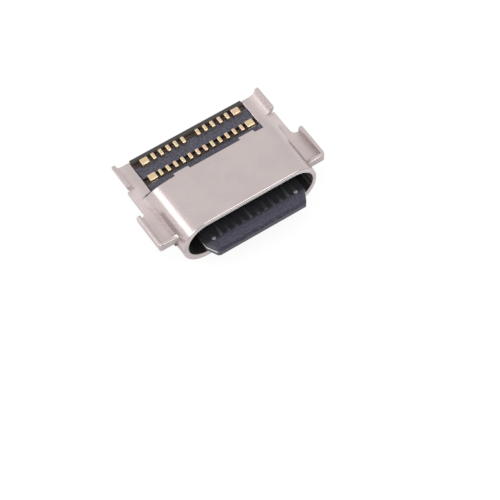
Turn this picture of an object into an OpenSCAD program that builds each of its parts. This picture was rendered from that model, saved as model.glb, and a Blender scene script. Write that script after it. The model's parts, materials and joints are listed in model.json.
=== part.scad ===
// Reversible charging port for a handset: a mid-mount board connector that lies on its flat back,
// with its solder side up and its mouth towards -Y. Lengths are in millimetres.
// Heights are measured from the middle of the mouth, and depths from the plane of its rim.

/* [Mouth] */
// Clear width inside the mouth
mouth_w = 8.34; // [7.8:0.02:9]
// Clear height inside the mouth
mouth_h = 2.56; // [2.4:0.02:2.8]
// Wall of the mouth and of the trough behind it
shell_wall = 0.3; // [0.22:0.01:0.4]
// How much deeper the trough's outside lies than the hood's outside is high
back_drop = 0.24; // [0.1:0.02:0.4]
// Radius of the rim's outer edge
rim_r = 0.12; // [0.04:0.01:0.2]

/* [Upper shell] */
// Length of the hood that closes the mouth on the solder side, along its flat top
hood_len = 3.6; // [3.3:0.05:4]
// How far the hood's end leans back at its foot
hood_lean = 0.55; // [0.2:0.05:0.8]
// Width of each hold-down tab on the hood's end
tab_w = 1; // [0.6:0.05:1.4]
// How far a hold-down tab reaches behind the hood
tab_reach = 0.24; // [0.1:0.02:0.5]
// How far a hold-down tab is pressed down at its end
tab_drop = 0.08; // [0.02:0.01:0.15]
// Distance from the middle to the centre of each tab
tab_x = 2.18; // [1.5:0.02:2.3]

/* [Wings] */
// Thickness of the wings and their lips
wing_t = 0.25; // [0.15:0.01:0.3]
// Height of the wings' top face
wing_top = 0.02; // [-0.1:0.01:0.06]
// Height of the lips' free edges
lip_top = 0.5; // [0.44:0.01:0.6]
// Inside radius of the bend between a front ear and its lips
ear_lip_r = 0.08; // [0.04:0.01:0.15]
// Inside radius of the bend between a rear ear and its lip
rear_lip_r = 0.42; // [0.1:0.01:0.45]
// Half of the width over the front ears
ear_x = 5.6; // [5.45:0.05:6]
// Front edge of the front ears
ear_front = 0.7; // [0.4:0.05:1]
// Rear edge of the front ears
ear_rear = 3.15; // [2.8:0.05:3.4]
// Corner radius of the front ears
ear_r = 0.3; // [0.1:0.05:0.4]
// Half of the width over the waist and the rear ears
waist_x = 5; // [4.9:0.05:5.2]
// Where the lips of the rear ears begin
rear_lip_front = 5.07; // [4.8:0.05:5.4]
// Rear end of the wings
wing_rear = 6.75; // [6.7:0.05:7.2]
// Gap between the window's sides and the wide tails of the front row
window_gap = 0.27; // [0.15:0.01:0.35]
// Width of the relief slit at the window's front corners
slit_w = 0.12; // [0.05:0.01:0.15]

/* [Lower shell] */
// Outer face of the folded end wall
end_wall_y = 6.84; // [6.8:0.02:6.9]
// Thickness of the folded end wall
end_wall_t = 0.25; // [0.15:0.01:0.28]
// Height of the end wall's free edge
end_wall_top = 0.04; // [0:0.01:0.1]
// Slit between the back face and the end wall
end_slit = 0.06; // [0.03:0.01:0.1]
// Width of each strap that joins the end wall to the back face
strap_w = 0.72; // [0.5:0.02:1]
// Distance from the middle to the centre of each strap
strap_x = 2.38; // [2:0.02:2.44]
// Outside radius of the straps' bend
strap_r = 0.3; // [0.2:0.02:0.36]
// Width of the bend relief beside each strap
relief_w = 0.16; // [0.1:0.01:0.25]
// Depth of the bend relief, from the back face
relief_h = 0.42; // [0.38:0.02:0.6]
// Thickness of the foot that carries the weld to the wings
foot_t = 0.06; // [0.04:0.01:0.1]
// Radius between the trough's side and its foot
foot_r = 0.16; // [0.1:0.01:0.25]

/* [Tongue] */
// Width of the tongue
tongue_w = 6.69; // [6.65:0.01:6.8]
// Thickness of the tongue
tongue_t = 0.7; // [0.65:0.01:0.76]
// How far the tongue stands out of the mouth
tongue_out = 1.25; // [0.9:0.05:1.4]
// Width of the tongue at its tip
tip_w = 5.84; // [5.7:0.02:6.2]
// Length of the taper at the tip's corners
tip_taper = 0.8; // [0.5:0.05:1]
// Height of the blunt face at the tip
tip_face = 0.34; // [0.2:0.02:0.4]
// Length of the bevels above and below the tip
tip_bevel = 0.16; // [0.1:0.01:0.3]
// Length of the thick step at the tongue's foot
step_len = 0.6; // [0.4:0.05:0.8]
// Thickness of that step
step_t = 1.3; // [1.2:0.02:1.5]
// Length of the plug that closes the mouth's inner end
root_len = 0.5; // [0.4:0.02:0.55]
// Length of the latch notches in the tongue's sides
notch_len = 0.75; // [0.5:0.05:1]
// Depth of the latch notches
notch_d = 0.32; // [0.2:0.02:0.4]
// Front end of the latch notches
notch_y = 0.9; // [0.7:0.05:1.2]

/* [Contacts] */
// Distance between neighbouring contacts
pitch = 0.5; // [0.48:0.01:0.51]
// Width of a contact on the tongue
contact_w = 0.26; // [0.2:0.01:0.28]
// Thickness of the contact strip
contact_t = 0.12; // [0.08:0.01:0.14]
// How far the contacts' round front ends stand out of the mouth
contact_out = 0.47; // [0.3:0.01:0.6]
// Width of the cut-off stubs in front of the longer contacts
stub_w = 0.1; // [0.06:0.01:0.14]
// Where the strips begin to dip in the tongue's plug, from its front face
dip_start = 0.15; // [0.12:0.01:0.2]
// Length over which the strips dip
dip_len = 0.3; // [0.2:0.01:0.35]
// Where the lower strips begin to fan out, behind the hood
jog_start = 0.4; // [0.3:0.02:0.5]
// Length over which the lower strips fan out
jog_len = 1; // [0.6:0.05:1.2]

/* [Solder tails] */
// Height of the solder tails' top face
tail_top = 0.25; // [0.23:0.01:0.34]
// Width of a solder tail
tail_w = 0.22; // [0.18:0.01:0.26]
// Length of a solder tail
tail_len = 0.47; // [0.4:0.01:0.6]
// Outside radius of a tail's bend
tail_r = 0.15; // [0.13:0.01:0.18]
// Distance between the two rows of tails
row_pitch = 1.16; // [1.1:0.01:1.2]
// Distance from the end wall's outer face to the front ends of the rear row
rear_row_in = 0.86; // [0.82:0.01:0.9]
// Distance between the two middle tails of the rear row
rear_gap = 1; // [0.9:0.02:1.02]
// Width of the wide tails at the ends of both rows
wide_tail_w = 0.5; // [0.4:0.01:0.54]
// Gap between a wide tail of the rear row and the tail beside it
wide_gap = 0.24; // [0.15:0.01:0.3]

/* [Ground plates] */
// Thickness of the mid plate in the tongue
mid_t = 0.1; // [0.08:0.01:0.14]
// How far the mid plate's edges stand out of the tongue's sides
mid_proud = 0.05; // [0.02:0.01:0.08]
// Gap between a leg of the mid plate and the contact beside it
leg_gap = 0.17; // [0.1:0.01:0.2]
// How far the mid plate reaches into the tongue's plug
mid_reach = 0.1; // [0.05:0.01:0.11]
// Thickness of the shield pads on the step
pad_t = 0.1; // [0.06:0.01:0.14]
// Width of the shield pads
pad_w = 5.6; // [5:0.1:6]

/* [Carriers] */
// Height of the upper carrier's top face
carrier_top = 0.08; // [0.05:0.01:0.14]
// Height of the land between the rows of tails
land_top = 0.08; // [0.04:0.01:0.1]
// Depth of the pocket floors under the tails, below the middle of the mouth
pocket_d = 0.2; // [0.06:0.01:0.22]
// Gap behind the tails of the front row
pocket_gap = 0.05; // [0.02:0.01:0.08]
// How far behind their front ends the tails of the rear row leave the land
pocket_set = 0.2; // [0.16:0.01:0.3]
// Distance from the wings' lower face down to the joint between the two carriers
split_gap = 0.07; // [0.05:0.01:0.15]
// Gap between a moulding and the metal round it
fit = 0.02; // [0.01:0.005:0.03]

/* [Hidden] */
$fn = 64;
plate_gold = [0.86, 0.74, 0.52];
nickel = [0.76, 0.72, 0.71];
moulding = [0.2, 0.2, 0.25];

// Contacts in each row, and the places of the longer ones counted from either end
contacts = 12;
long_places = [1, 4];

out_w = mouth_w + 2 * shell_wall;
out_h = mouth_h + 2 * shell_wall;
out_r = out_h / 2;
side_x = (mouth_w - mouth_h) / 2;
back_z = -out_r - back_drop;
wing_bottom = wing_top - wing_t;
far = 3 * ear_x;

trough_rear = end_wall_y - end_wall_t - end_slit;
relief_x = (strap_w + relief_w) / 2;
relief_out = strap_w / 2 + relief_w;
root_front = hood_len - root_len;
step_front = root_front - step_len;
leg_x = row_x(contacts) + (contact_w + wide_tail_w) / 2 + leg_gap;
rear_wide_x = rear_tail_x(contacts - 1) + (tail_w + wide_tail_w) / 2 + wide_gap;
window_x = leg_x + wide_tail_w / 2 + window_gap;
carrier_x = window_x - fit;
carrier_joint = wing_bottom - split_gap;
rear_row_y = end_wall_y - rear_row_in;
front_row_y = rear_row_y - row_pitch;
front_pocket_rear = front_row_y + tail_len + pocket_gap;

contact_front = -contact_out;
upper_run = -contact_t;
lower_run = -tongue_t - contact_t / 2;
dip_front = root_front + dip_start;
run_front = dip_front + dip_len;
jog_front = hood_len + jog_start;
jog_rear = jog_front + jog_len;

function row_x(i) = (i - (contacts + 1) / 2) * pitch;
function place(i) = min(i, contacts + 1 - i);
function is_long(i) = len(search(place(i), long_places)) > 0;
function side(i) = sign(row_x(i));
function rear_tail_x(i) = place(i) == 1
    ? side(i) * rear_wide_x
    : row_x(i) + side(i) * (rear_gap - pitch) / 2;
function rear_tail_w(i) = place(i) == 1 ? wide_tail_w : tail_w;
function two_digits(i) = str(i < 10 ? "0" : "", i);
function upper_name(i) = str("upper_contact_", two_digits(i));
function lower_name(i) = str("lower_contact_", two_digits(i));

// The part's frame: middle of its length, back face at zero
module in_frame() {
    translate([0, (tongue_out - max(wing_rear, end_wall_y)) / 2, -back_z]) children();
}

// Extrude a cross-section, drawn in X and Z, from y0 to y1
module along_y(y0, y1) {
    translate([0, y1, 0]) rotate([90, 0, 0]) linear_extrude(y1 - y0) children();
}

// Extrude a side profile, drawn in Y and Z, over a width centred on x
module along_x(x, w) {
    translate([x - w / 2, 0, 0]) rotate([90, 0, 90]) linear_extrude(w) children();
}

// Extrude a plan, drawn in X and Y, from z0 to z1
module upright(z0, z1) {
    translate([0, 0, z0]) linear_extrude(z1 - z0) children();
}

module block(x0, x1, y0, y1, z0, z1) {
    translate([x0, y0, z0]) cube([x1 - x0, y1 - y0, z1 - z0]);
}

module both_sides() {
    for (s = [0, 1]) mirror([s, 0, 0]) children();
}

// Rectangle from the origin with one round corner there
module round_corner(w, h, r) {
    translate([r, 0]) square([w - r, h]);
    translate([0, r]) square([w, h - r]);
    translate([r, r]) circle(r);
}

// What is left between a square corner at the origin and an arc of radius r
module corner_fillet(r) {
    difference() {
        square(r);
        translate([r, r]) circle(r);
    }
}

// Flat-sided oval with round ends
module oval(w, h) {
    square([w - h, h], center = true);
    for (s = [-1, 1]) translate([s * (w - h) / 2, 0]) circle(d = h);
}

// The shell's outside from the rim to y1, with the rim's outer edge rounded
module oval_bar(y1) {
    along_x(0, out_w - out_h) for (s = [0, 1]) mirror([0, s])
        translate([0, -out_r]) round_corner(y1, out_r, rim_r);
    for (s = [-1, 1]) translate([s * side_x, 0, 0]) rotate([90, 0, 0]) rotate_extrude()
        difference() {
            translate([0, -y1]) square([out_r, y1]);
            translate([out_r, 0]) rotate(180) corner_fillet(rim_r);
        }
}

// The oval and the same oval lowered to the back face, joined
module deep_oval(w, h) {
    for (z = [0, -back_drop]) translate([0, z]) oval(w, h);
    translate([-w / 2, -back_drop]) square([w, back_drop]);
}

module deep_oval_bar(y1) {
    for (z = [0, -back_drop]) translate([0, 0, z]) oval_bar(y1);
    upright(-back_drop, 0) both_sides()
        translate([-out_w / 2, 0]) round_corner(out_w / 2, y1, rim_r);
}

// Fillet between the oval's round side and a flat above it at height z
module side_fillet(r, z) {
    x = side_x + sqrt(pow(out_r + r, 2) - pow(r - z, 2));
    centre = [x, z - r];
    both_sides() difference() {
        polygon([[side_x, 0], [x, z], centre]);
        translate(centre) circle(r);
    }
}

module half_plane(z, up) {
    translate([-far / 2, up > 0 ? z : z - far]) square(far);
}

// Upper shell

module hood_section() {
    intersection() {
        oval(out_w, out_h);
        half_plane(wing_bottom, 1);
    }
}

// The hood's side view: its end leans back towards the foot
module hood_side() {
    polygon([
        [0, -out_h], [0, out_h], [hood_len, out_h], [hood_len, out_r],
        [hood_len + hood_lean, wing_top], [hood_len + hood_lean, -out_h]
    ]);
}

// The hold-down tab's side view, pressed down at its end
module tab_side() {
    translate([hood_len, mouth_h / 2]) polygon([
        [-shell_wall, 0], [0, 0], [tab_reach, -tab_drop],
        [tab_reach, shell_wall - tab_drop], [0, shell_wall], [-shell_wall, shell_wall]
    ]);
}

module hood() {
    rear = hood_len + hood_lean;
    difference() {
        intersection() {
            along_y(0, rear) hood_section();
            oval_bar(rear);
            along_x(0, far) hood_side();
        }
        along_y(-rear, 2 * rear) oval(mouth_w, mouth_h);
    }
    both_sides() along_x(tab_x, tab_w) tab_side();
}

// Plan of one wing: front ear, waist and rear ear, with the hood's hollow and the window cut away
module wing_plan() {
    foot_y = hood_len + hood_lean;
    neck_x = side_x + out_r;
    difference() {
        union() {
            translate([0, ear_front]) square([waist_x, wing_rear - ear_front]);
            translate([ear_x, ear_front]) mirror([1, 0]) round_corner(ear_x, ear_rear - ear_front, ear_r);
            translate([waist_x, ear_rear]) corner_fillet(ear_r);
        }
        polygon([
            [0, 0], [mouth_w / 2, 0], [mouth_w / 2, foot_y], [neck_x, foot_y],
            [neck_x, foot_y + slit_w], [window_x, foot_y + 2 * slit_w], [window_x, far], [0, far]
        ]);
    }
}

// A turned-up edge in section, its outer face at zero: all that lies within its outside
module lip_outside(r) {
    translate([0, wing_bottom]) round_corner(far, lip_top - wing_bottom, r + wing_t);
}

// The room that the turned-up edge and the wing leave
module lip_inside(r) {
    translate([wing_t, wing_top]) round_corner(far, far, r);
}

// Side edge of a wing, its outer face at x
module side_edge(x, y0, y1) {
    along_y(y0, y1) translate([x, 0]) mirror([1, 0]) children();
}

// Front edge of an ear
module front_edge() {
    along_x(0, far) translate([ear_front, 0]) children();
}

module front_ear() {
    rear = ear_rear + ear_r;
    difference() {
        intersection() {
            side_edge(ear_x, ear_front, rear) lip_outside(ear_lip_r);
            front_edge() lip_outside(ear_lip_r);
        }
        intersection() {
            side_edge(ear_x, ear_front, rear) lip_inside(ear_lip_r);
            front_edge() lip_inside(ear_lip_r);
        }
        block(0, far, ear_rear, far, wing_top, far);
    }
}

module rear_ear() {
    side_edge(waist_x, rear_lip_front, wing_rear) difference() {
        lip_outside(rear_lip_r);
        lip_inside(rear_lip_r);
    }
}

module wing() {
    intersection() {
        upright(wing_bottom, lip_top) wing_plan();
        union() {
            front_ear();
            block(0, waist_x, ear_rear, rear_lip_front, wing_bottom, wing_top);
            rear_ear();
        }
    }
}

module upper_shell() {
    color(nickel) in_frame() {
        hood();
        both_sides() wing();
    }
}

// Lower shell

module trough_section() {
    intersection() {
        deep_oval(out_w, out_h);
        half_plane(wing_bottom, -1);
    }
}

// The foot along the trough's edges and the fillet above it
module foot_section() {
    foot_z = wing_bottom - foot_t;
    foot_x = side_x + sqrt(pow(out_r + foot_r, 2) - pow(foot_r - foot_z - back_drop, 2));
    translate([-foot_x, foot_z]) square([2 * foot_x, foot_t]);
    intersection() {
        translate([0, -back_drop]) side_fillet(foot_r, foot_z + back_drop);
        half_plane(wing_bottom, -1);
    }
}

module end_wall_section() {
    intersection() {
        deep_oval(out_w, out_h);
        half_plane(wing_bottom - fit, -1);
    }
    translate([-carrier_x, -out_r / 2]) square([2 * carrier_x, end_wall_top + out_r / 2]);
}

// Bend reliefs beside a strap: slots into the rear edge of the back face, all through it
module strap_reliefs() {
    for (s = [-1, 1]) translate([strap_x + s * relief_x, 0, 0])
        block(-relief_w / 2, relief_w / 2, trough_rear - relief_w, far, -far, -mouth_h / 4);
}

// A strap's side view: back face, outside bend and the lower part of the end wall
module strap_side() {
    difference() {
        union() {
            translate([trough_rear - relief_w, back_z])
                square([end_wall_y - trough_rear + relief_w, shell_wall]);
            translate([end_wall_y - end_wall_t, back_z]) square([end_wall_t, relief_h]);
        }
        translate([end_wall_y, back_z]) mirror([1, 0]) corner_fillet(strap_r);
    }
}

module end_wall() {
    difference() {
        along_y(end_wall_y - end_wall_t, end_wall_y) end_wall_section();
        both_sides() translate([strap_x, 0, 0])
            block(-relief_out, relief_out, 0, far, -far, back_z + relief_h);
    }
}

module lower_shell() {
    color(nickel) in_frame() {
        difference() {
            union() {
                intersection() {
                    along_y(0, trough_rear) trough_section();
                    deep_oval_bar(trough_rear);
                }
                along_y(ear_front, trough_rear) foot_section();
            }
            along_y(-far, far) oval(mouth_w, mouth_h);
            both_sides() strap_reliefs();
        }
        end_wall();
        both_sides() along_x(strap_x, strap_w) strap_side();
    }
}

// Contacts

// A strip's side view: the run on the tongue, the dip and the run in the carrier, up to y1
module strip_side(tongue_z, run_z, y1) {
    front = contact_front + contact_w / 2;
    lean = contact_t / 2;
    polygon([
        [front, tongue_z], [dip_front, tongue_z], [run_front, run_z], [y1, run_z],
        [y1, run_z + contact_t], [run_front + lean, run_z + contact_t],
        [dip_front + lean, tongue_z + contact_t], [front, tongue_z + contact_t]
    ]);
}

// A solder tail's side view: riser, outside bend and the tail that lies back from it
module tail_side(run_z, riser_y) {
    bend = [riser_y + tail_r, tail_top - tail_r];
    translate([riser_y, run_z]) square([contact_t, bend.y - run_z]);
    translate([bend.x, tail_top - contact_t]) square([tail_len - tail_r, contact_t]);
    intersection() {
        translate([riser_y, bend.y]) square(tail_r);
        translate(bend) difference() {
            circle(tail_r);
            circle(tail_r - contact_t);
        }
    }
}

// Round front end of a contact, and the stub that its carrier strip leaves
module contact_tip(i, z) {
    translate([row_x(i), contact_front + contact_w / 2, z]) cylinder(d = contact_w, h = contact_t);
    if (is_long(i))
        block(row_x(i) - stub_w / 2, row_x(i) + stub_w / 2, tip_bevel - tongue_out, contact_front + stub_w,
            z, z + contact_t);
}

module upper_strip(i) {
    z = tongue_t / 2 - contact_t;
    neck_y = hood_len + dip_len;
    contact_tip(i, z);
    along_x(row_x(i), contact_w) strip_side(z, upper_run, neck_y);
    block(row_x(i) - tail_w / 2, row_x(i) + tail_w / 2, neck_y, front_row_y + contact_t,
        upper_run, upper_run + contact_t);
    along_x(row_x(i), tail_w) tail_side(upper_run, front_row_y);
}

module lower_strip(i) {
    z = -tongue_t / 2;
    x0 = row_x(i);
    x1 = rear_tail_x(i);
    w = rear_tail_w(i);
    contact_tip(i, z);
    along_x(x0, contact_w) strip_side(z, lower_run, jog_front);
    upright(lower_run, lower_run + contact_t) polygon([
        [x0 - contact_w / 2, jog_front], [x0 + contact_w / 2, jog_front],
        [x1 + w / 2, jog_rear], [x1 + w / 2, rear_row_y + contact_t],
        [x1 - w / 2, rear_row_y + contact_t], [x1 - w / 2, jog_rear]
    ]);
    along_x(x1, w) tail_side(lower_run, rear_row_y);
}

module upper_contact(i) {
    color(plate_gold) in_frame() upper_strip(i);
}

module lower_contact(i) {
    color(plate_gold) in_frame() lower_strip(i);
}

// Ground plates

// Plan of the tongue up to y1, with the latch notches, its front and its sides drawn in
module tongue_plan(front_in, side_in, y1) {
    half = tongue_w / 2 - side_in;
    tip = tip_w / 2 - side_in + (tongue_w - tip_w) / 2 * front_in / tip_taper;
    front = front_in - tongue_out;
    difference() {
        polygon([
            [-half, y1], [-half, tip_taper - tongue_out], [-tip, front], [tip, front],
            [half, tip_taper - tongue_out], [half, y1]
        ]);
        both_sides() translate([half - notch_d, notch_y]) square([half, notch_len]);
    }
}

// The plate with its rail in the tongue's plug, and the two legs that end as tails
module mid_plate_shape() {
    leg_out = leg_x + wide_tail_w / 2;
    upright(-mid_t / 2, mid_t / 2) {
        tongue_plan(tip_bevel, 0, root_front + mid_reach);
        translate([-leg_out, root_front]) square([2 * leg_out, mid_reach]);
        both_sides() translate([leg_x - wide_tail_w / 2, root_front])
            square([wide_tail_w, front_row_y + contact_t - root_front]);
    }
    both_sides() along_x(leg_x, wide_tail_w) tail_side(-mid_t / 2, front_row_y);
}

module mid_plate() {
    color(nickel) in_frame() mid_plate_shape();
}

// Shield pad over the step's face and its front edge; up is 1 for the upper face
module shield_pad_shape(up) {
    mirror([0, 0, up > 0 ? 0 : 1]) {
        block(-pad_w / 2, pad_w / 2, step_front, root_front, step_t / 2 - pad_t, step_t / 2);
        block(-pad_w / 2, pad_w / 2, step_front, step_front + pad_t, tongue_t / 2, step_t / 2);
    }
}

module upper_shield_pad() {
    color(nickel) in_frame() shield_pad_shape(1);
}

module lower_shield_pad() {
    color(nickel) in_frame() shield_pad_shape(-1);
}

// Mouldings

module tongue_side() {
    half = tongue_t / 2;
    polygon([
        [root_front, -half], [tip_bevel - tongue_out, -half], [-tongue_out, -tip_face / 2],
        [-tongue_out, tip_face / 2], [tip_bevel - tongue_out, half], [root_front, half]
    ]);
}

module all_strips() {
    for (i = [1 : contacts]) {
        upper_strip(i);
        lower_strip(i);
    }
}

module tongue() {
    color(moulding) in_frame() difference() {
        union() {
            intersection() {
                upright(-tongue_t, tongue_t) tongue_plan(0, mid_proud, root_front);
                along_x(0, far) tongue_side();
            }
            block(mid_proud - tongue_w / 2, tongue_w / 2 - mid_proud, step_front, root_front,
                -step_t / 2, step_t / 2);
            along_y(root_front, hood_len) oval(mouth_w - 2 * fit, mouth_h - 2 * fit);
        }
        all_strips();
        mid_plate_shape();
        for (up = [1, -1]) shield_pad_shape(up);
    }
}

// What the carriers may fill: the trough's hollow below the wings, the window's width all the way up
module carrier_section(z0, z1) {
    intersection() {
        translate([-carrier_x, z0]) square([2 * carrier_x, z1 - z0]);
        union() {
            oval(mouth_w - 2 * fit, mouth_h - 2 * fit);
            half_plane(wing_bottom - fit, 1);
        }
    }
}

module upper_carrier() {
    color(moulding) in_frame() difference() {
        along_y(hood_len, front_pocket_rear) carrier_section(carrier_joint, carrier_top);
        block(-far, far, front_row_y - fit, far, -pocket_d, far);
        for (i = [1 : contacts]) upper_strip(i);
        mid_plate_shape();
    }
}

module lower_carrier_shape() {
    along_y(hood_len, trough_rear) intersection() {
        oval(mouth_w - 2 * fit, mouth_h - 2 * fit);
        half_plane(carrier_joint, -1);
    }
    difference() {
        along_y(front_pocket_rear, trough_rear) carrier_section(carrier_joint, land_top);
        block(-far, far, rear_row_y + pocket_set, far, -pocket_d, far);
    }
}

module lower_carrier() {
    color(moulding) in_frame() difference() {
        lower_carrier_shape();
        for (i = [1 : contacts]) lower_strip(i);
    }
}

upper_shell();
lower_shell();
tongue();
upper_carrier();
lower_carrier();
mid_plate();
upper_shield_pad();
lower_shield_pad();
for (i = [1 : contacts]) {
    upper_contact(i);
    lower_contact(i);
}
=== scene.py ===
# %% [markdown]
# A charging port, dressed
#
# The part is a small board connector: two folded nickel sheets round a dark tongue, with gilt solder
# tails in a window at the back. Its solids come from the frame at their real size, 11 mm wide. This
# lesson gives them their edges, finishes, light and camera.

# %% Load the frame
import json
import math

import bmesh
import bpy
from mathutils import Matrix, Vector


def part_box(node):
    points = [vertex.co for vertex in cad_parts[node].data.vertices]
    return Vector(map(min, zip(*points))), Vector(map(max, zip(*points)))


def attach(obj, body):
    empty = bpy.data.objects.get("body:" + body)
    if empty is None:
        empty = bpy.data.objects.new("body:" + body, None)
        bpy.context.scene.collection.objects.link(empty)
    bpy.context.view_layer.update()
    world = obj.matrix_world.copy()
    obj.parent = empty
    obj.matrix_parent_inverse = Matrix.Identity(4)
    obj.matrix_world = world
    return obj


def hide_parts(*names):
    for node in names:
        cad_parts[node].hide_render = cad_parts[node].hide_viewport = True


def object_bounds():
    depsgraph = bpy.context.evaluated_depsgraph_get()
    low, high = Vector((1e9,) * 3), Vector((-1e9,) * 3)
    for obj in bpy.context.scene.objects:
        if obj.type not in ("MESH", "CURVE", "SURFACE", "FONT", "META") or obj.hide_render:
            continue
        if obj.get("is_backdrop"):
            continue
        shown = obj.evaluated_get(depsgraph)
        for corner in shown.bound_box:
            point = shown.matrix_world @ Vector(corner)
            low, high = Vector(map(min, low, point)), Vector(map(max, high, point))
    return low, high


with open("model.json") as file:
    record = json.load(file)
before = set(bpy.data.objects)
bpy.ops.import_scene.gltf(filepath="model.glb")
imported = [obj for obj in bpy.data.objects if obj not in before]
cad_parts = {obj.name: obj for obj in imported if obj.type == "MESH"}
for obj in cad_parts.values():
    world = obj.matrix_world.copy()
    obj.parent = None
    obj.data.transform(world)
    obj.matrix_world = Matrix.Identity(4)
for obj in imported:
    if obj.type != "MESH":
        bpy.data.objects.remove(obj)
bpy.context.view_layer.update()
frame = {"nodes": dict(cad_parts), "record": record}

MM = 0.001
nodes = frame["nodes"]
scene = bpy.context.scene

# %% [markdown]
# Measures that later steps share
#
# Everything is placed from the frame's own boxes, so that it stays in place if the solids change. The
# mouth's middle is the middle of the tongue, whose plug fills the mouth's inner end. Some finishes
# change at the plug's rear face, over a short depth.

# %% Take the main places from the solids
WING_RISE = 0.02 * MM
PLUG_FADE = 0.1 * MM

hood_low, hood_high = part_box("upper_shell")
trough_low, trough_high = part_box("lower_shell")
carrier_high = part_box("lower_carrier")[1]
tongue_low, tongue_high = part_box("tongue")
mouth_middle = Vector((0, trough_low.y, (tongue_low.z + tongue_high.z) / 2))
hood_r = hood_high.z - mouth_middle.z
mouth_r = (tongue_high.z - tongue_low.z) / 2
hood_end_x = tongue_high.x - mouth_r
plate_top = mouth_middle.z + WING_RISE
plug_rear = (tongue_high.y - PLUG_FADE, tongue_high.y)
mounts = {mount["name"]: Vector(mount["pos_m"]) for mount in frame["record"]["mounts"]}
lip_top = mounts["wing_lips"].z
print("middle of the mouth in mm:", [round(v / MM, 2) for v in mouth_middle])

# %% [markdown]
# The camera
#
# The photograph looks down on the solder side from the front left, through a long lens. The pixel of
# the mouth's middle, the scale there and the distance were fitted to it. The camera could be aimed by
# hand, but a fitted one puts every edge where the photograph has it.

# %% Set the camera
AZIMUTH = math.radians(-34)
ELEVATION = math.radians(58)
IMAGE_SIZE = 500
MOUTH_PIXEL = (251.4, 213.55)
PIXELS_PER_METRE = 17880
CAMERA_DISTANCE = 121 * MM
SENSOR = 36

back = Vector((
    math.sin(AZIMUTH) * math.cos(ELEVATION),
    -math.cos(AZIMUTH) * math.cos(ELEVATION),
    math.sin(ELEVATION),
))
right = Vector((math.cos(AZIMUTH), math.sin(AZIMUTH), 0))
up = back.cross(right)
off_right = (MOUTH_PIXEL[0] - IMAGE_SIZE / 2) / PIXELS_PER_METRE
off_up = (IMAGE_SIZE / 2 - MOUTH_PIXEL[1]) / PIXELS_PER_METRE
place = mouth_middle - right * off_right - up * off_up + back * CAMERA_DISTANCE

camera_data = bpy.data.cameras.new("camera")
camera_data.sensor_width = SENSOR
camera_data.lens = SENSOR * PIXELS_PER_METRE * CAMERA_DISTANCE / IMAGE_SIZE
camera_data.clip_start = CAMERA_DISTANCE / 10
camera_data.clip_end = CAMERA_DISTANCE * 20
camera = bpy.data.objects.new("camera", camera_data)
scene.collection.objects.link(camera)
camera.matrix_world = Matrix.Translation(place) @ Matrix((right, up, back)).transposed().to_4x4()
scene.camera = camera
scene.view_settings.view_transform = "Standard"
print("lens in mm:", round(camera_data.lens, 1))

# %% [markdown]
# Tools for patterns
#
# Each finish is a small node tree on Object coordinates, which are metres in the part's frame. A fine
# pattern could be an image, but noise at the real grain size needs no file and stays sharp up close.

# %% Make helpers for patterns


def new_finish(name, roughness, metallic=0.0):
    """A plain finish: its material and its shader, whose roughness holds until a pattern is linked."""
    material = bpy.data.materials.new(name)
    material.use_nodes = True
    shader = material.node_tree.nodes["Principled BSDF"]
    shader.inputs["Roughness"].default_value = roughness
    shader.inputs["Metallic"].default_value = metallic
    return material, shader


def grain(material, size, stretch=(1, 1, 1), detail=2.0):
    """Noise whose lumps are about that many metres across, stretched along an axis if asked."""
    tree = material.node_tree
    coords = tree.nodes.new("ShaderNodeTexCoord")
    mapping = tree.nodes.new("ShaderNodeMapping")
    mapping.inputs["Scale"].default_value = [1 / (size * s) for s in stretch]
    noise = tree.nodes.new("ShaderNodeTexNoise")
    noise.inputs["Scale"].default_value = 1.0
    noise.inputs["Detail"].default_value = detail
    tree.links.new(coords.outputs["Object"], mapping.inputs["Vector"])
    tree.links.new(mapping.outputs["Vector"], noise.inputs["Vector"])
    return noise.outputs["Fac"]


def ramp(material, factor, stops):
    """A colour ramp over a factor; each stop is a position and a colour."""
    node = material.node_tree.nodes.new("ShaderNodeValToRGB")
    elements = node.color_ramp.elements
    while len(elements) < len(stops):
        elements.new(0.5)
    for element, (position, colour) in zip(elements, stops):
        element.position = position
        element.color = (*colour, 1)
    material.node_tree.links.new(factor, node.inputs["Fac"])
    return node.outputs["Color"]


def relief(material, shader, height, depth):
    """Bump from a height between 0 and 1, that many metres deep."""
    node = material.node_tree.nodes.new("ShaderNodeBump")
    node.inputs["Strength"].default_value = 1.0
    node.inputs["Distance"].default_value = depth
    material.node_tree.links.new(height, node.inputs["Height"])
    material.node_tree.links.new(node.outputs["Normal"], shader.inputs["Normal"])


print("pattern helpers ready")

# %% [markdown]
# Tools for places
#
# A finish is seldom the same all over a piece: it is dull in a bend, and painted shade goes into a
# pocket and a painted highlight onto an edge. Such places could be separate materials on painted
# faces. Here they are numbers computed from the Object coordinates, because these fade softly and
# need no seam in the mesh.

# %% Make helpers for places


def axis_value(material, axis):
    """One Object coordinate, in metres."""
    tree = material.node_tree
    coords = tree.nodes.new("ShaderNodeTexCoord")
    split = tree.nodes.new("ShaderNodeSeparateXYZ")
    tree.links.new(coords.outputs["Object"], split.inputs["Vector"])
    return split.outputs[axis]


def spread(material, factor, low, high, at=(0.35, 0.65)):
    """A number that goes from low to high as the factor goes between the two given values."""
    node = material.node_tree.nodes.new("ShaderNodeMapRange")
    node.inputs["From Min"].default_value, node.inputs["From Max"].default_value = at
    node.inputs["To Min"].default_value, node.inputs["To Max"].default_value = low, high
    material.node_tree.links.new(factor, node.inputs["Value"])
    return node.outputs["Result"]


def compute(material, operation, first, second=None):
    """A Math node on one or two values, each a socket or a plain number."""
    node = material.node_tree.nodes.new("ShaderNodeMath")
    node.operation = operation
    for socket, value in zip(node.inputs, (first, second)):
        if isinstance(value, float):
            socket.default_value = value
        elif value is not None:
            material.node_tree.links.new(value, socket)
    return node.outputs[0]


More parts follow.
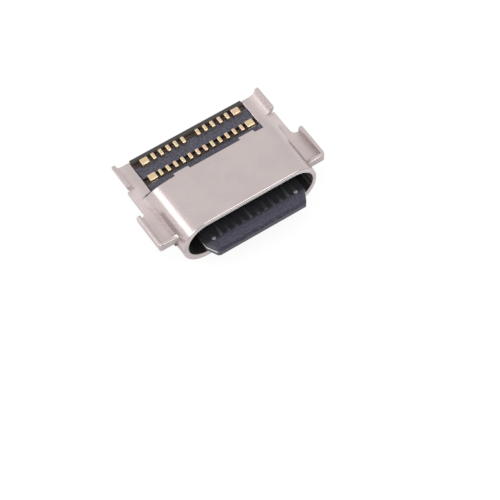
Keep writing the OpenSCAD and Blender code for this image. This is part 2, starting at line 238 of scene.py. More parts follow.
def blend(material, factor, first, second):
    """Mix two colours, each a socket or a plain colour."""
    node = material.node_tree.nodes.new("ShaderNodeMix")
    node.data_type = "RGBA"
    material.node_tree.links.new(factor, node.inputs["Factor"])
    # A Mix node has sockets for each kind of data. The colours are inputs 6 and 7 and output 2.
    for socket, value in ((node.inputs[6], first), (node.inputs[7], second)):
        if isinstance(value, tuple):
            socket.default_value = (*value, 1)
        else:
            material.node_tree.links.new(value, socket)
    return node.outputs[2]


print("place helpers ready")

# %% [markdown]
# Satin nickel
#
# The shells are steel sheet under a thin satin nickel plating: a pale metal with a warm, slightly
# pink tone. Rolled sheet has a fine grain along one direction. A mirror metal would be wrong, so the
# roughness is medium and varies with the grain, and part of the light is scattered instead of
# mirrored.
#
# The mouth's inner wall gets painted shade: its tone is darkened for the shade inside the mouth, and
# it is duller. It is found by its distance from the mouth's middle line, which follows the round ends
# without any mask.

# %% Make the plated sheet
PLATE_TONES = ((0.38, (0.555, 0.485, 0.48)), (0.62, (0.585, 0.51, 0.505)))
PLATE_MOTTLE = 1.4 * MM
PLATE_ROUGH = (0.25, 0.29)
ROLLED_GRAIN = 0.06 * MM
ROLLED_STRETCH = (1, 8, 1)
ROLLED_DEPTH = 0.0004 * MM
HOOD_MIRRORED = 0.8
# Painted shade: the mouth's inner wall is given this dark tone for the shade inside the mouth.
MOUTH_WALL_SHADE = (0.10, 0.093, 0.092)
MOUTH_WALL_DULL = 0.4
MOUTH_WALL_EDGE = (0.04 * MM, 0.07 * MM)


def in_mouth(material):
    """1 on the mouth's inner wall and 0 elsewhere, by the distance from the mouth's middle line."""
    outwards = compute(material, "ABSOLUTE", axis_value(material, "X"))
    beyond = compute(material, "MAXIMUM", compute(material, "SUBTRACT", outwards, hood_end_x), 0.0)
    upwards = compute(material, "SUBTRACT", axis_value(material, "Z"), mouth_middle.z)
    squares = [compute(material, "MULTIPLY", value, value) for value in (beyond, upwards)]
    distance = compute(material, "SQRT", compute(material, "ADD", *squares))
    close = spread(material, distance, 1, 0, at=[mouth_r + edge for edge in MOUTH_WALL_EDGE])
    ahead = spread(material, axis_value(material, "Y"), 1, 0, at=plug_rear)
    return compute(material, "MULTIPLY", close, ahead)


def satin_nickel(name):
    """Nickel-plated sheet: its material, its shader, its tone and its roughness, still to be linked."""
    material, shader = new_finish(name, roughness=0.28, metallic=HOOD_MIRRORED)
    plated = ramp(material, grain(material, PLATE_MOTTLE), PLATE_TONES)
    # The mouth's inner wall gets painted shade.
    mouth_shade = in_mouth(material)
    tone = blend(material, mouth_shade, plated, MOUTH_WALL_SHADE)
    rolled = grain(material, ROLLED_GRAIN, stretch=ROLLED_STRETCH, detail=3)
    relief(material, shader, rolled, ROLLED_DEPTH)
    duller = spread(material, mouth_shade, 0, MOUTH_WALL_DULL, at=(0, 1))
    roughness = compute(material, "ADD", spread(material, rolled, *PLATE_ROUGH), duller)
    return material, shader, tone, roughness


print("plated sheet ready")

# %% [markdown]
# The upper shell's nickel
#
# Where the wings are bent out of the hood the plating is duller, and a lighter tone is painted on
# them as painted light against the shade near the hood. The free edges of their lips are burnished.
# The upper part of the rim's front face gets a painted highlight, a pale and matt tone. One material
# for the whole shell, with these places computed in it, keeps the shell one piece.

# %% Finish the upper shell's nickel
# Painted light: a lighter tone on the wings, which brightens them where shade falls near the hood.
LIGHTENED_WING_TONES = ((0.38, (0.60, 0.525, 0.52)), (0.62, (0.63, 0.55, 0.545)))
WING_MIRRORED = 0.4
BEND_DULL = 0.2
BEND_START = 0.8
LIP_EDGE = 0.11 * MM
LIP_FADE = 0.8
# Painted highlight: a pale, matt tone on the upper part of the rim's front face.
RIM_HIGHLIGHT_TONE = (0.97, 0.92, 0.915)
RIM_MIRRORED = 0.1
RIM_DEPTH = (0.01 * MM, 0.03 * MM)
RIM_HEIGHT = (0.5, 0.8)

nickel, shader, plated, roughness = satin_nickel("satin_nickel")
outwards = compute(nickel, "ABSOLUTE", axis_value(nickel, "X"))
upwards = axis_value(nickel, "Z")
bend = (hood_end_x + BEND_START * hood_r, hood_end_x + hood_r)
lip_edge = (lip_top - LIP_EDGE, lip_top - LIP_FADE * LIP_EDGE)
on_wing = spread(nickel, outwards, 0, 1, at=bend)
dull_and_lightened = compute(nickel, "MULTIPLY", on_wing, spread(nickel, upwards, 1, 0, at=lip_edge))
# The wings get the lighter tone as painted light, together with their duller finish.
lightened_wing_tone = ramp(nickel, grain(nickel, PLATE_MOTTLE), LIGHTENED_WING_TONES)
dull_rough = spread(nickel, dull_and_lightened, 0, BEND_DULL, at=(0, 1))
dull_mirror = spread(nickel, dull_and_lightened, HOOD_MIRRORED, WING_MIRRORED, at=(0, 1))

# The upper part of the rim's front face gets a painted highlight.
rim_front = [trough_low.y + depth for depth in RIM_DEPTH]
rim_height = [mouth_middle.z + share * hood_r for share in RIM_HEIGHT]
in_front = spread(nickel, axis_value(nickel, "Y"), 1, 0, at=rim_front)
rim = compute(nickel, "MULTIPLY", in_front, spread(nickel, upwards, 0, 1, at=rim_height))
rim_mirror = spread(nickel, rim, HOOD_MIRRORED, RIM_MIRRORED, at=(0, 1))
for value, socket in (
    (blend(nickel, rim, blend(nickel, dull_and_lightened, plated, lightened_wing_tone), RIM_HIGHLIGHT_TONE), "Base Color"),
    (compute(nickel, "ADD", roughness, dull_rough), "Roughness"),
    (compute(nickel, "MINIMUM", dull_mirror, rim_mirror), "Metallic"),
):
    nickel.node_tree.links.new(value, shader.inputs[socket])
print("made", nickel.name)

# %% [markdown]
# The lower shell's nickel
#
# The trough is the same sheet. The top of its end wall gets painted shade, a dark tone, which shows
# as a dark strip behind the tails. A separate dark strip would need its own piece, so the finish
# turns dark there.

# %% Finish the lower shell's nickel
# Painted shade: the top of the end wall is given this dark tone.
WALL_TOP_SHADE = (0.075, 0.072, 0.072)
WALL_SHADE_MARGIN = 0.06 * MM
WALL_SHADE_FADE = 0.03 * MM

trough_nickel, shader, plated, roughness = satin_nickel("trough_nickel")
shade_z, shade_y = trough_high.z - WALL_SHADE_MARGIN, trough_high.y - WALL_SHADE_MARGIN
at_top = spread(trough_nickel, axis_value(trough_nickel, "Z"), 0, 1, at=(shade_z, shade_z + WALL_SHADE_FADE))
inside = spread(trough_nickel, axis_value(trough_nickel, "Y"), 1, 0, at=(shade_y, shade_y + WALL_SHADE_FADE))
shaded_wall_top = compute(trough_nickel, "MULTIPLY", at_top, inside)
tone = blend(trough_nickel, shaded_wall_top, plated, WALL_TOP_SHADE)
trough_nickel.node_tree.links.new(tone, shader.inputs["Base Color"])
trough_nickel.node_tree.links.new(roughness, shader.inputs["Roughness"])
print("made", trough_nickel.name)

# %% [markdown]
# Dark moulding
#
# The tongue and the two carriers are moulded from a heat-proof plastic with glass fibre in it, dark
# blue-grey and not quite matt. The fibre shows as a fine mottle. Plain black would lose the blue.
# Behind its front land the tongue is painted near black and less glossy, as painted shade, and the
# pockets round the tails are painted brown, as painted shade with a painted reflection of the gold.

# %% Make the moulding
MOULDING_TONES = ((0.35, (0.028, 0.027, 0.042)), (0.65, (0.085, 0.082, 0.115)))
FRONT_TONES = ((0.35, (0.031, 0.029, 0.048)), (0.65, (0.068, 0.065, 0.097)))
# Painted shade: behind the tongue's front the moulding is given this near-black tone.
TONGUE_SHADE = (0.02, 0.02, 0.024)
# Painted shade: the pockets round the tails are given this brown tone, with a painted reflection of the
# gold.
POCKET_SHADE = (0.06, 0.038, 0.024)
MOULD_GRAIN = 0.12 * MM
MOULD_RELIEF = 0.003 * MM
MOULD_ROUGH = (0.34, 0.5)
FRONT_GLOSS, SHADE_GLOSS = 0.5, 0.12
TONGUE_SHADE_FADE = 0.1 * MM
POCKET_SHADE_FADE = 0.05 * MM


def dark_moulding(name, shade_below=None, shade_behind=None):
    """Dark plastic, with painted brown shade below a height and painted dark shade behind a depth, in
    metres.
    """
    material, shader = new_finish(name, roughness=0.4)
    links = material.node_tree.links
    mottle = grain(material, MOULD_GRAIN, detail=4)
    tone = ramp(material, mottle, MOULDING_TONES)
    if shade_below is not None:
        # Below the land the pockets get painted shade.
        pocket_shade_edge = (shade_below - POCKET_SHADE_FADE, shade_below)
        above_pockets = spread(material, axis_value(material, "Z"), 0, 1, at=pocket_shade_edge)
        tone = blend(material, above_pockets, POCKET_SHADE, tone)
    if shade_behind is not None:
        # Behind the contacts' front ends the tongue is painted dark and less glossy, as painted shade.
        tongue_shade_edge = (shade_behind - TONGUE_SHADE_FADE, shade_behind + TONGUE_SHADE_FADE)
        in_shade = spread(material, axis_value(material, "Y"), 0, 1, at=tongue_shade_edge)
        tone = blend(material, in_shade, ramp(material, mottle, FRONT_TONES), TONGUE_SHADE)
        gloss = spread(material, in_shade, FRONT_GLOSS, SHADE_GLOSS, at=(0, 1))
        links.new(gloss, shader.inputs["Specular IOR Level"])
    links.new(tone, shader.inputs["Base Color"])
    links.new(spread(material, mottle, *MOULD_ROUGH), shader.inputs["Roughness"])
    relief(material, shader, mottle, MOULD_RELIEF)
    return material


print("moulding ready")

# %% [markdown]
# The two mouldings
#
# The tongue gets painted shade behind the contacts' front ends. The land between the two rows of
# tails lies a little below the wings on the real part, so that the window's edge catches the light,
# and the pockets' painted shade lies below that. One shared material would be simpler, but the two
# painted shades lie in different places.

# %% Finish the tongue and the carriers
LAND_DROP = 0.08 * MM
POCKET_SHADE_DEPTH = 0.02 * MM

contact_front = min(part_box(name)[0].y for name in ("upper_contact_02", "lower_contact_02"))
land_top = carrier_high.z - LAND_DROP
tongue_moulding = dark_moulding("tongue_moulding", shade_behind=contact_front)
carrier_moulding = dark_moulding("carrier_moulding", shade_below=land_top - POCKET_SHADE_DEPTH)
print("made", tongue_moulding.name, carrier_moulding.name)

# %% [markdown]
# Gilt contacts
#
# Each contact is one strip. Its tail is gilded, in pale gold that is pinker on some tails and greener
# on others. The run on the tongue has a dark grey plating that is worn off to a dull film at the tip.
# The two end contacts get a painted highlight at the tip instead, a bright tone. One finish that
# changes along the strip is simpler than several pieces, and no seam shows between them.

# %% Make the contacts' finish
GOLD_TONES = (
    (0.34, (0.75, 0.55, 0.41)), (0.52, (0.75, 0.585, 0.375)), (0.7, (0.70, 0.605, 0.40)),
)
TINT_WIDTH = 0.45 * MM
TINT_STRETCH = (1, 20, 20)
GREY_PLATING = (0.075, 0.075, 0.083)
TIP_FILM = (0.088, 0.086, 0.105)
# Painted highlight: the tips of the two end contacts are given this bright tone.
TIP_HIGHLIGHT = (0.36, 0.36, 0.38)
TIP_LENGTH = 0.14 * MM
TIP_FADE_FRONT, TIP_FADE_REAR = 0.02 * MM, 0.05 * MM
END_FADE = 0.1 * MM
STAMP_GRAIN = 0.03 * MM
STAMP_DEPTH = 0.001 * MM
GILT_ROUGH = (0.2, 0.34)
RUN_DULL = 0.26

gilt, shader = new_finish("gilt_contact", roughness=0.25, metallic=1.0)
along = axis_value(gilt, "Y")
outwards = compute(gilt, "ABSOLUTE", axis_value(gilt, "X"))
tint = ramp(gilt, grain(gilt, TINT_WIDTH, stretch=TINT_STRETCH, detail=0), GOLD_TONES)
behind_plug = spread(gilt, along, 0, 1, at=plug_rear)
end_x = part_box("upper_contact_12")[0].x
at_end = spread(gilt, outwards, 0, 1, at=(end_x - END_FADE, end_x))
past_front = spread(gilt, along, 0, 1, at=(contact_front - TIP_FADE_FRONT, contact_front))
# The two end contacts get a painted highlight at the tip.
tip = blend(gilt, compute(gilt, "MULTIPLY", at_end, past_front), TIP_FILM, TIP_HIGHLIGHT)
tip_end = contact_front + TIP_LENGTH
past_tip = spread(gilt, along, 0, 1, at=(tip_end, tip_end + TIP_FADE_REAR))
tone = blend(gilt, behind_plug, blend(gilt, past_tip, tip, GREY_PLATING), tint)
stamped = grain(gilt, STAMP_GRAIN, detail=2)
run_dull = spread(gilt, behind_plug, RUN_DULL, 0, at=(0, 1))
roughness = compute(gilt, "ADD", spread(gilt, stamped, *GILT_ROUGH), run_dull)
gilt.node_tree.links.new(tone, shader.inputs["Base Color"])
gilt.node_tree.links.new(roughness, shader.inputs["Roughness"])
relief(gilt, shader, stamped, STAMP_DEPTH)
print("made", gilt.name)

# %% [markdown]
# Bare steel
#
# The ground plate in the tongue and the pads on its step are bare stamped steel. The plate's two legs
# end the front row of tails, and there they are gilded like their neighbours. A second material on
# the legs' faces would do as well, but the finish already knows where the plug ends.

# %% Make the bare steel
STEEL_TONES = ((0.4, (0.50, 0.49, 0.48)), (0.6, (0.60, 0.59, 0.57)))
STEEL_MOTTLE = 0.3 * MM
STEEL_ROUGH = (0.24, 0.4)
LEG_GOLD = GOLD_TONES[1][1]

steel, shader = new_finish("stamped_steel", roughness=0.35, metallic=1.0)
bare = ramp(steel, grain(steel, STEEL_MOTTLE), STEEL_TONES)
behind_plug = spread(steel, axis_value(steel, "Y"), 0, 1, at=plug_rear)
stamped = grain(steel, STAMP_GRAIN, detail=2)
steel.node_tree.links.new(blend(steel, behind_plug, bare, LEG_GOLD), shader.inputs["Base Color"])
steel.node_tree.links.new(spread(steel, stamped, *STEEL_ROUGH), shader.inputs["Roughness"])
print("made", steel.name)

# %% [markdown]
# Soft edges
#
# No edge of a stamped or moulded piece is perfectly sharp, and each thin round edge catches a line of
# light. A solid arrives as loose triangles, so a copy is merged first, its flat faces are joined
# again, and then each edge that is still sharp gets a weight for the bevel. Rounding in the shader
# would be quicker, but it would be lost in the mesh.

# %% Make the helper that weighs the edges
MERGE = 0.0005 * MM
FLAT = math.radians(0.5)
SHARP = math.radians(28)
FADE = math.radians(30)
STRAIGHT_ON = math.radians(140)
ROOM_SHARE = 0.4
MOST_WEAR = 2.4


def room_for(line):
    """How far an edge can be rounded before it runs into the shorter edges at its ends."""
    room = math.inf
    for vertex in line.verts:
        along = line.other_vert(vertex).co - vertex.co
        for other in vertex.link_edges:
            away = other.other_vert(vertex).co - vertex.co
            turn = along.angle(away, math.pi)
            if other is not line and turn < STRAIGHT_ON:
                room = min(room, ROOM_SHARE * away.length * math.sin(min(turn, math.pi / 2)))
    return room


def weighed_copy(node, edge, wear, reshape):
    """A merged copy of a solid's mesh, reshaped, with a bevel weight on each sharp edge."""
    mesh = nodes[node].data.copy()
    work = bmesh.new()
    work.from_mesh(mesh)
    bmesh.ops.remove_doubles(work, verts=work.verts, dist=MERGE)
    bmesh.ops.dissolve_limit(work, angle_limit=FLAT, verts=work.verts, edges=work.edges)
    if reshape:
        for vertex in work.verts:
            reshape(vertex)
    for face in work.faces:
        face.smooth = True
    weights = work.edges.layers.float.new("bevel_weight_edge")
    for line in work.edges:
        corner = line.calc_face_angle_signed(0) if len(line.link_faces) == 2 else 0
        if corner > SHARP:
            fade = min((corner - SHARP) / FADE, 1)
            wish = edge * fade * (wear(line) if wear else 1)
            line[weights] = min(wish, room_for(line)) / (edge * MOST_WEAR)
        line.smooth = abs(corner) < SHARP or line[weights] > 0
    work.to_mesh(mesh)
    work.free()
    return mesh


print("edges can be weighed")

# %% [markdown]
# A rounded stand-in for a solid
#
# The bevel rounds the weighed edges, a cutter may take a little out of the piece, and weighted
# normals keep the flat faces flat in the light. The result is turned into a plain mesh that stands in
# for the solid. The modifiers could stay live, but a plain mesh is what the export keeps.

# %% Make the rounding helper


def soften(node, edge, finish, segments=3, wear=None, cutters=None, reshape=None):
    """A copy of a solid with its sharp edges rounded by that many metres, times each edge's wear.

    The cutters, if any, are an object that is cut out of the copy. Reshape, if given, moves its points.
    """
    mesh = weighed_copy(node, edge, wear, reshape)
    mesh.materials.clear()
    mesh.materials.append(finish)
    rough = bpy.data.objects.new(node + "_rough", mesh)
    scene.collection.objects.link(rough)
    bevel = rough.modifiers.new("edge", "BEVEL")
    bevel.width = edge * MOST_WEAR
    bevel.segments = segments
    bevel.limit_method = "WEIGHT"
    bevel.use_clamp_overlap = False
    if cutters:
        cut = rough.modifiers.new("cut", "BOOLEAN")
        cut.operation = "DIFFERENCE"
        cut.object = cutters
        cut.material_mode = "TRANSFER"
    normals = rough.modifiers.new("normals", "WEIGHTED_NORMAL")
    normals.keep_sharp = True
    depsgraph = bpy.context.evaluated_depsgraph_get()
    done = bpy.data.meshes.new_from_object(rough.evaluated_get(depsgraph))
    bpy.data.objects.remove(rough)
    piece = bpy.data.objects.new(node + "_piece", done)
    scene.collection.objects.link(piece)
    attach(piece, "root")
    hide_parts(node)
    return piece


print("rounding helper ready")

# %% [markdown]
# Weld marks
#
# The end wall was held by a row of spot welds, and each left a small dark pit in its outer face. They
# are not quite in line, because welds never are. Geometry Nodes set one ball at each weld, and the
# row of balls is then cut out of the wall. A dark spot in the finish would be simpler, but it would
# stay flat.

# %% Make the burnt finish of the pits
WELD_TONES = ((0.4, (0.12, 0.11, 0.105)), (0.6, (0.2, 0.185, 0.175)))
WELD_GRAIN = 0.05 * MM

weld_mark, shader = new_finish("weld_mark", roughness=0.5, metallic=HOOD_MIRRORED)
burnt = ramp(weld_mark, grain(weld_mark, WELD_GRAIN), WELD_TONES)
weld_mark.node_tree.links.new(burnt, shader.inputs["Base Color"])
print("made", weld_mark.name)

# %% [markdown]
# The tree for the row of balls
#
# A mesh line gives the row's points, a random shift takes each a little out of line, and a ball is
# set on each point. The sizes and the seed are inputs, so that the row can be changed without opening
# the tree.

# %% Set up the tree's inputs and nodes
WELD_INPUTS = (
    ("Count", "Int"), ("Start", "Vector"), ("Step", "Vector"),
    ("Stray", "Vector"), ("Radius", "Float"), ("Seed", "Int"),
)

weld_tree = bpy.data.node_groups.new("weld_row", "GeometryNodeTree")
weld_tree.interface.new_socket("Geometry", in_out="OUTPUT", socket_type="NodeSocketGeometry")
weld_sockets = {}
for name, kind in WELD_INPUTS:
    socket = weld_tree.interface.new_socket(name, in_out="INPUT", socket_type="NodeSocket" + kind)
    weld_sockets[name] = socket.identifier
given = weld_tree.nodes.new("NodeGroupInput")
result = weld_tree.nodes.new("NodeGroupOutput")
row = weld_tree.nodes.new("GeometryNodeMeshLine")
stray = weld_tree.nodes.new("FunctionNodeRandomValue")
stray.data_type = "FLOAT_VECTOR"
opposite = weld_tree.nodes.new("ShaderNodeVectorMath")
opposite.operation = "SCALE"
opposite.inputs["Scale"].default_value = -1
shift = weld_tree.nodes.new("GeometryNodeSetPosition")
ball = weld_tree.nodes.new("GeometryNodeMeshUVSphere")
on_points = weld_tree.nodes.new("GeometryNodeInstanceOnPoints")
realize = weld_tree.nodes.new("GeometryNodeRealizeInstances")
coat = weld_tree.nodes.new("GeometryNodeSetMaterial")
coat.inputs["Material"].default_value = weld_mark
print("tree", weld_tree.name, "with", len(weld_tree.nodes), "nodes")

# %% [markdown]
# The links in the tree
#
# The stray goes to the random shift twice, once turned round, so that a ball can stray to either
# side. The balls are made real at the end, because an export drops instances, and then they get the
# burnt finish, which the cut hands on to the pits.

# %% Link the tree's nodes
# The random value's first two inputs are the least and the most of a vector.
for source, target in (
    (given.outputs["Count"], row.inputs["Count"]),
    (given.outputs["Start"], row.inputs["Start Location"]),
    (given.outputs["Step"], row.inputs["Offset"]),
    (given.outputs["Stray"], opposite.inputs[0]),
    (opposite.outputs[0], stray.inputs[0]),
    (given.outputs["Stray"], stray.inputs[1]),
    (given.outputs["Seed"], stray.inputs["Seed"]),
    (row.outputs["Mesh"], shift.inputs["Geometry"]),
    (stray.outputs[0], shift.inputs["Offset"]),
    (given.outputs["Radius"], ball.inputs["Radius"]),
    (shift.outputs["Geometry"], on_points.inputs["Points"]),
    (ball.outputs["Mesh"], on_points.inputs["Instance"]),
    (on_points.outputs["Instances"], realize.inputs["Geometry"]),
    (realize.outputs["Geometry"], coat.inputs["Geometry"]),
    (coat.outputs["Geometry"], result.inputs["Geometry"]),
):
    weld_tree.links.new(source, target)
print("tree", weld_tree.name, "with", len(weld_tree.links), "links")

# %% [markdown]
# The balls
#
# The balls stand mostly outside the wall, so that each cuts only a shallow pit and doesn't pierce the
# sheet. The inputs are set by their identifiers before the first evaluation, and then the result is
# made a plain mesh.

# %% Make the balls that cut the weld marks
WELDS = 4
FIRST_WELD = (-0.93 * MM, 1.06 * MM)
WELD_STEP = 0.71 * MM
WELD_STRAY = 0.07 * MM
BALL_R = 0.16 * MM
PIT_DEPTH = 0.05 * MM
WELD_SEED = 5

weld_row = bpy.data.objects.new("weld_row", bpy.data.meshes.new("weld_row"))
scene.collection.objects.link(weld_row)
welding = weld_row.modifiers.new("welds", "NODES")
welding.node_group = weld_tree
ball_y = trough_high.y + BALL_R - PIT_DEPTH
for name, value in (
    ("Count", WELDS),
    ("Start", (FIRST_WELD[0], ball_y, FIRST_WELD[1])),
    ("Step", (WELD_STEP, 0, 0)),
    ("Stray", (WELD_STRAY, 0, WELD_STRAY)),
    ("Radius", BALL_R),
    ("Seed", WELD_SEED),
):
    welding[weld_sockets[name]] = value
depsgraph = bpy.context.evaluated_depsgraph_get()
balls = bpy.data.meshes.new_from_object(weld_row.evaluated_get(depsgraph))
weld_row.modifiers.remove(welding)
weld_row.data = balls
print("weld balls:", WELDS, "with", len(balls.polygons), "faces")

# %% [markdown]
# The rim's wear
#
# The rim is the edge that a plug meets. Its outer edge is rounder at the two ends than on the
# straight part, its inner edge lies between the two, and the wear fades out towards the joint with
# the trough. The wear could be painted edge by edge, but a rule on each edge's place still holds when
# a size changes.

# %% Say how the rim is worn
CLOSE = 0.01 * MM
ROUND_RIM_WEAR = 1.3
STRAIGHT_RIM_WEAR = 0.5
RIM_FADE = 0.5 * MM


def from_middle(point):
    """How far a point is from the mouth's middle line, seen from the front."""
    return math.hypot(max(abs(point.x) - hood_end_x, 0), point.z - mouth_middle.z)


def rim_wear(ends):
    """How much an edge of the rim is worn: most on the round ends, fading out towards the joint."""
    above_joint = min(min(p.z for p in ends) - hood_low.z, RIM_FADE) / RIM_FADE
    if from_middle(ends[0]) < hood_r - CLOSE:
        return above_joint
    straight = all(abs(p.x) < hood_end_x + CLOSE for p in ends)
    return above_joint * (STRAIGHT_RIM_WEAR if straight else ROUND_RIM_WEAR)


print("wear on the rim: straight", STRAIGHT_RIM_WEAR, "and round", ROUND_RIM_WEAR)

# %% [markdown]
# The upper shell
#
# Tumbling has rounded the edges of the sheet by a good part of its thickness. The lips' free edges
# are worn the most, and then the window's edges and the rim. The joint with the trough and the round
# notch behind each front ear stay sharp. One width for all edges would be simpler, but the rounding
# would then run into itself at the short edges.

# %% Round the upper shell
SHEET_EDGE = 0.045 * MM
WINDOW_WEAR = 2
JOINT_DEPTH = 0.25 * MM
NOTCH_X = (4.99 * MM, 5.36 * MM)
NOTCH_Y = (0.35 * MM, 0.66 * MM)


def in_notch(point):
    """Whether a point lies in the round notch behind a front ear."""
    return NOTCH_X[0] < abs(point.x) < NOTCH_X[1] and NOTCH_Y[0] < point.y < NOTCH_Y[1]


def hood_wear(line):
    """How much an edge of the upper shell is worn."""
    ends = [v.co for v in line.verts]
    on_plate = all(abs(p.z - plate_top) < CLOSE for p in ends)
    if on_plate and all(in_notch(p) for p in ends):
        return 0
    if all(abs(p.z - lip_top) < CLOSE and abs(p.x) > hood_end_x + hood_r for p in ends):
        return MOST_WEAR
    if on_plate and all(abs(p.x) < carrier_high.x and p.y > tongue_high.y for p in ends):
        return WINDOW_WEAR
    joint_r = hood_r + JOINT_DEPTH
    if all(p.z < hood_low.z + CLOSE and from_middle(p) < joint_r for p in ends):
        return 0
    if all(p.y < trough_low.y + CLOSE for p in ends):
        return rim_wear(ends)
    return 1


print("made", soften("upper_shell", SHEET_EDGE, nickel, wear=hood_wear).name)

# %% [markdown]
# The lower shell
#
# The trough is rounded like the hood, apart from its joint with the hood and the wings, where two
# sheets lie face to face and a rounding would open a groove. The weld balls are cut out of its end
# wall, and then they have done their work.

# %% Round the lower shell


def trough_wear(line):
    """How much an edge of the lower shell is worn: not at all along the joint."""
    joint_z = hood_low.z - JOINT_DEPTH
    at_joint = any(v.co.z > joint_z and v.co.y < carrier_high.y for v in line.verts)
    return 0 if at_joint else 1


trough = soften(
    "lower_shell", SHEET_EDGE, trough_nickel, wear=trough_wear, cutters=weld_row,
)
bpy.data.objects.remove(weld_row)
print("made", trough.name)

# %% [markdown]
# The mouldings
#
# A moulding's edges are crisper than those of sheet. Only the carriers' ends beside the window are
# rounded further, as the draft of the mould leaves them. The lower carrier's top is moved down to the
# land's real height in the copy, because the solid itself stays as it is.

# %% Round the mouldings
TONGUE_EDGE = 0.03 * MM
MOULD_EDGE = 0.05 * MM
MOULD_CRISP = 0.4
LAND_END_X = 3.6 * MM


def lower_land(vertex):
    """Move a point of the carrier's top down to the land."""
    if vertex.co.z > carrier_high.z - CLOSE:
        vertex.co.z -= LAND_DROP


def carrier_wear(line):
    """How much an edge of a carrier is worn: more at its ends beside the window's edges."""
    first, second = (v.co for v in line.verts)
    on_top = min(first.z, second.z) > land_top - CLOSE
    at_end = min(abs(first.x), abs(second.x)) > LAND_END_X and abs(first.x - second.x) < CLOSE
    return 1 if on_top and at_end else MOULD_CRISP


soften("tongue", TONGUE_EDGE, tongue_moulding)
for node, reshape in (("upper_carrier", None), ("lower_carrier", lower_land)):
    soften(
        node, MOULD_EDGE, carrier_moulding, wear=carrier_wear, reshape=reshape,
    )

# %% [markdown]
# The plates and the contacts
#
# Stamped strip has a little burr and a little rounding. The tails' edges are rounder than those of
# the runs, because gilding and solder build up on them. There are 24 contacts, so each gets fewer
# segments.

# %% Round the plates and the contacts
STRIP_EDGE = 0.025 * MM
TAIL_WEAR = 2


def tail_wear(line):
    """How much an edge of a contact is worn: more on the tail behind the plug."""
    return TAIL_WEAR if all(v.co.y > tongue_high.y for v in line.verts) else 1


for node in ("mid_plate", "upper_shield_pad", "lower_shield_pad"):
    soften(node, STRIP_EDGE, steel)
for node in sorted(name for name in nodes if "_contact_" in name):
    soften(node, STRIP_EDGE, gilt, segments=2, wear=tail_wear)

# %% [markdown]
# The flared foot of the hood
#
# Towards the rear the hood's round side runs out into the wing with a flare, where the sheet was
# drawn up from the flat. At the front ears the bend is sharp. The flare is a thin wedge along the
# bend that grows to the rear. A fillet of one radius would be simpler, but it would catch a bright
# line all along.

# %% Make the flare's cross-section
FLARE_TILT = math.radians(34)
FLARE_LEAN = 0.35
SINK = 0.06 * MM


def flare_row(size, y):
    """One cross-section on the right side: from the hood's side down to the wing, closed inside."""
    angle = math.pi / 2 - FLARE_TILT * size
    rise = plate_top - mouth_middle.z
    top = Vector((hood_end_x + hood_r * math.sin(angle), hood_r * math.cos(angle)))
    foot = Vector((top.x + (top.y - rise) / math.tan(angle), rise))
    inner = Vector((top.x - SINK, rise - SINK))
    corners = (top, foot, foot - Vector((0, SINK)), inner, top - Vector((SINK, 0)))
    return [Vector((p.x, y - FLARE_LEAN * size * p.y, mouth_middle.z + p.y)) for p in corners]


top, foot = flare_row(1, 0)[:2]
flare_size = (foot.x - top.x, top.z - foot.z)
print("width and height of a full flare in mm:", [round(v / MM, 2) for v in flare_size])

# %% [markdown]
# The flares' skin
#
# The cross-sections are joined row by row into a closed skin, and the left flare is the mirror image
# of the right one. A sweep along a curve would do for one size, but here each section has a size and
# a lean of its own.

# %% Build the flares
FLARE_FRONT = 1.2 * MM
FLARE_REAR = 4.1 * MM
FLARE_LEAST = 0.03
FLARE_GROWTH = 1.3
ROWS = 24


def sheet_piece(name, mesh):
    """A new piece of nickel sheet from a finished mesh."""
    mesh.materials.append(nickel)
    piece = bpy.data.objects.new(name, mesh)
    scene.collection.objects.link(piece)
    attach(piece, "root")
    return piece


def flare(name, mirror):
    """A flare on one side, lofted through its cross-sections and closed at both ends."""
    rows = []
    for row in range(ROWS + 1):
        t = row / ROWS
        y = trough_low.y + FLARE_FRONT + t * (FLARE_REAR - FLARE_FRONT)
        rows.append(flare_row(FLARE_LEAST + (1 - FLARE_LEAST) * t ** FLARE_GROWTH, y))
    count = len(rows[0])
    points = [(p.x * mirror, p.y, p.z) for row in rows for p in row]
    faces = []
    for start in range(0, ROWS * count, count):
        for corner in range(count):
            following = (corner + 1) % count
            near, far = start + corner, start + following
            faces.append((near, far, far + count, near + count))
    faces += [tuple(range(count)), tuple(range(ROWS * count, (ROWS + 1) * count))]
    mesh = bpy.data.meshes.new(name)
    mesh.from_pydata(points, [], faces)
    work = bmesh.new()
    work.from_mesh(mesh)
    bmesh.ops.recalc_face_normals(work, faces=work.faces)
    for face in work.faces:
        face.smooth = True
    work.to_mesh(mesh)
    work.free()
    mesh.set_sharp_from_angle(angle=SHARP)
    return sheet_piece(name, mesh)


for name, mirror in (("flare_left", -1), ("flare_right", 1)):
    print("made", flare(name, mirror).name)

# %% [markdown]
# The sheared foot
#
# Behind the hood its foot is sheared off the wing. A shear leaves a fine line and not an open saw
# cut, so a strip of metal lies a little below the surface in it. A narrower cut in the solid would be
# too fine to make, and the strip gives the same line.

# %% Lay the strips in the sheared lines
SHEAR_X = (3.95 * MM, 4.45 * MM)
SHEAR_Y = (4.16 * MM, 4.27 * MM)
SHEAR_Z = (-0.09 * MM, -0.04 * MM)

low, high = (
    Vector((x, trough_low.y + y, plate_top + z)) for x, y, z in zip(SHEAR_X, SHEAR_Y, SHEAR_Z)
)
middle, size = (low + high) / 2, high - low
for name, mirror in (("shear_left", -1), ("shear_right", 1)):
    place = Matrix.Translation((middle.x * mirror, middle.y, middle.z))
    work = bmesh.new()
    bmesh.ops.create_cube(work, matrix=place @ Matrix.Diagonal((*size, 1)))
    mesh = bpy.data.meshes.new(name)
    work.to_mesh(mesh)
    work.free()
    print("made", sheet_piece(name, mesh).name)

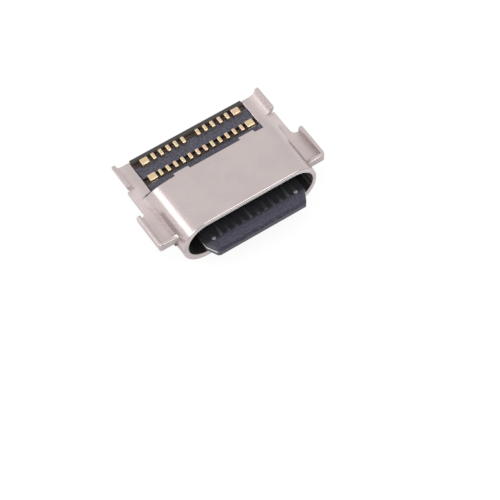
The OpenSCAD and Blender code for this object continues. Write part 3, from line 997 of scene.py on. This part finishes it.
# %% [markdown]
# The floor
#
# The photograph is a product shot on white with almost no shadow. A plain pale floor fills the view.
# For the camera and for reflections it glows a little, so that it reads as white without more light
# on the part, and it still darkens where the part shades it. A white floor under strong lamps would
# bleach the metal. It lies a hair below the part, because two faces in one plane would flicker.

# %% Make the floor
FLOOR_HALF = 0.6
FLOOR_Z = -0.01 * MM
FLOOR_WHITE = 0.16
FLOOR_GLOW = 0.865

floor_mesh = bpy.data.meshes.new("floor")
floor_mesh.from_pydata(
    [(x * FLOOR_HALF, y * FLOOR_HALF, FLOOR_Z) for x, y in ((-1, -1), (1, -1), (1, 1), (-1, 1))],
    [], [(0, 1, 2, 3)],
)
floor = bpy.data.objects.new("floor", floor_mesh)
scene.collection.objects.link(floor)
floor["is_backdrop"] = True

paper, shader = new_finish("white_paper", roughness=0.9)
shader.inputs["Base Color"].default_value = (FLOOR_WHITE, FLOOR_WHITE, FLOOR_WHITE, 1)
shader.inputs["Specular IOR Level"].default_value = 0.0
shader.inputs["Emission Color"].default_value = (1, 1, 1, 1)
path = paper.node_tree.nodes.new("ShaderNodeLightPath")
seen = path.outputs["Is Camera Ray"]
for kind in ("Is Glossy Ray", "Is Transmission Ray"):
    seen = compute(paper, "MAXIMUM", seen, path.outputs[kind])
glow = compute(paper, "MULTIPLY", seen, FLOOR_GLOW)
paper.node_tree.links.new(glow, shader.inputs["Emission Strength"])
floor_mesh.materials.append(paper)
print("floor", FLOOR_HALF * 2, "m wide")

# %% [markdown]
# The room round it
#
# Metal shows what stands round it, so the room matters as much as the lamps. It is a white tent that
# is open towards the camera at the front left, and the dark opening draws the dark line on the rim's
# shoulder. One slanting direction through the tent decides how bright it is, which is simpler than
# building the tent's walls.

# %% Make the room
TENT_SLANT = (0.3, 0.8, 1.0)
TENT_TONES = ((0.0, (0.1, 0.1, 0.105)), (1.0, (0.94, 0.935, 0.935)))
TENT_EDGE = (-0.1, 0.25)

world = bpy.data.worlds.new("room")
scene.world = world
world.use_nodes = True
coords = world.node_tree.nodes.new("ShaderNodeTexCoord")
slant = world.node_tree.nodes.new("ShaderNodeVectorMath")
slant.operation = "DOT_PRODUCT"
slant.inputs[1].default_value = TENT_SLANT
world.node_tree.links.new(coords.outputs["Generated"], slant.inputs[0])
tent = ramp(world, spread(world, slant.outputs["Value"], 0, 1, at=TENT_EDGE), TENT_TONES)
world.node_tree.links.new(tent, world.node_tree.nodes["Background"].inputs["Color"])
print("room made")

# %% [markdown]
# The lamps
#
# Three soft panels add what the tent lacks. The one at the back left draws the bright band along the
# hood's left shoulder, the one in front brightens the rim and the wings, and the one on the left
# lights the hood's left side and the inside of the right lips. Point lamps would be simpler, but
# metal would show them as dots.

# %% Hang the lamps
LAMP_DISTANCE = 0.16
LAMPS = (
    # name, direction from the part, width and height in metres, radiance
    ("back_left_panel", (-0.83, 0.44, 0.34), 0.12, 0.05, 2.5),
    ("front_panel", (0.3, -0.5, 0.82), 0.10, 0.07, 2.4),
    ("left_panel", (-0.78, -0.3, 0.5), 0.12, 0.08, 3.4),
)

for name, towards, width, height, radiance in LAMPS:
    lamp = bpy.data.lights.new(name, "AREA")
    lamp.shape = "RECTANGLE"
    lamp.size, lamp.size_y = width, height
    lamp.energy = radiance * math.pi * width * height
    panel = bpy.data.objects.new(name, lamp)
    scene.collection.objects.link(panel)
    direction = Vector(towards).normalized()
    panel.location = mouth_middle + direction * LAMP_DISTANCE
    panel.rotation_euler = direction.to_track_quat("Z", "Y").to_euler()
    print("hung", name)

# %% [markdown]
# Last checks
# The dressed box
# The dressed part's box is printed in millimetres; it should stay inside the solids' box.

# %% Write the sizes and finish
low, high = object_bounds()
print("dressed box in mm:", [round(v / MM, 3) for v in high - low])
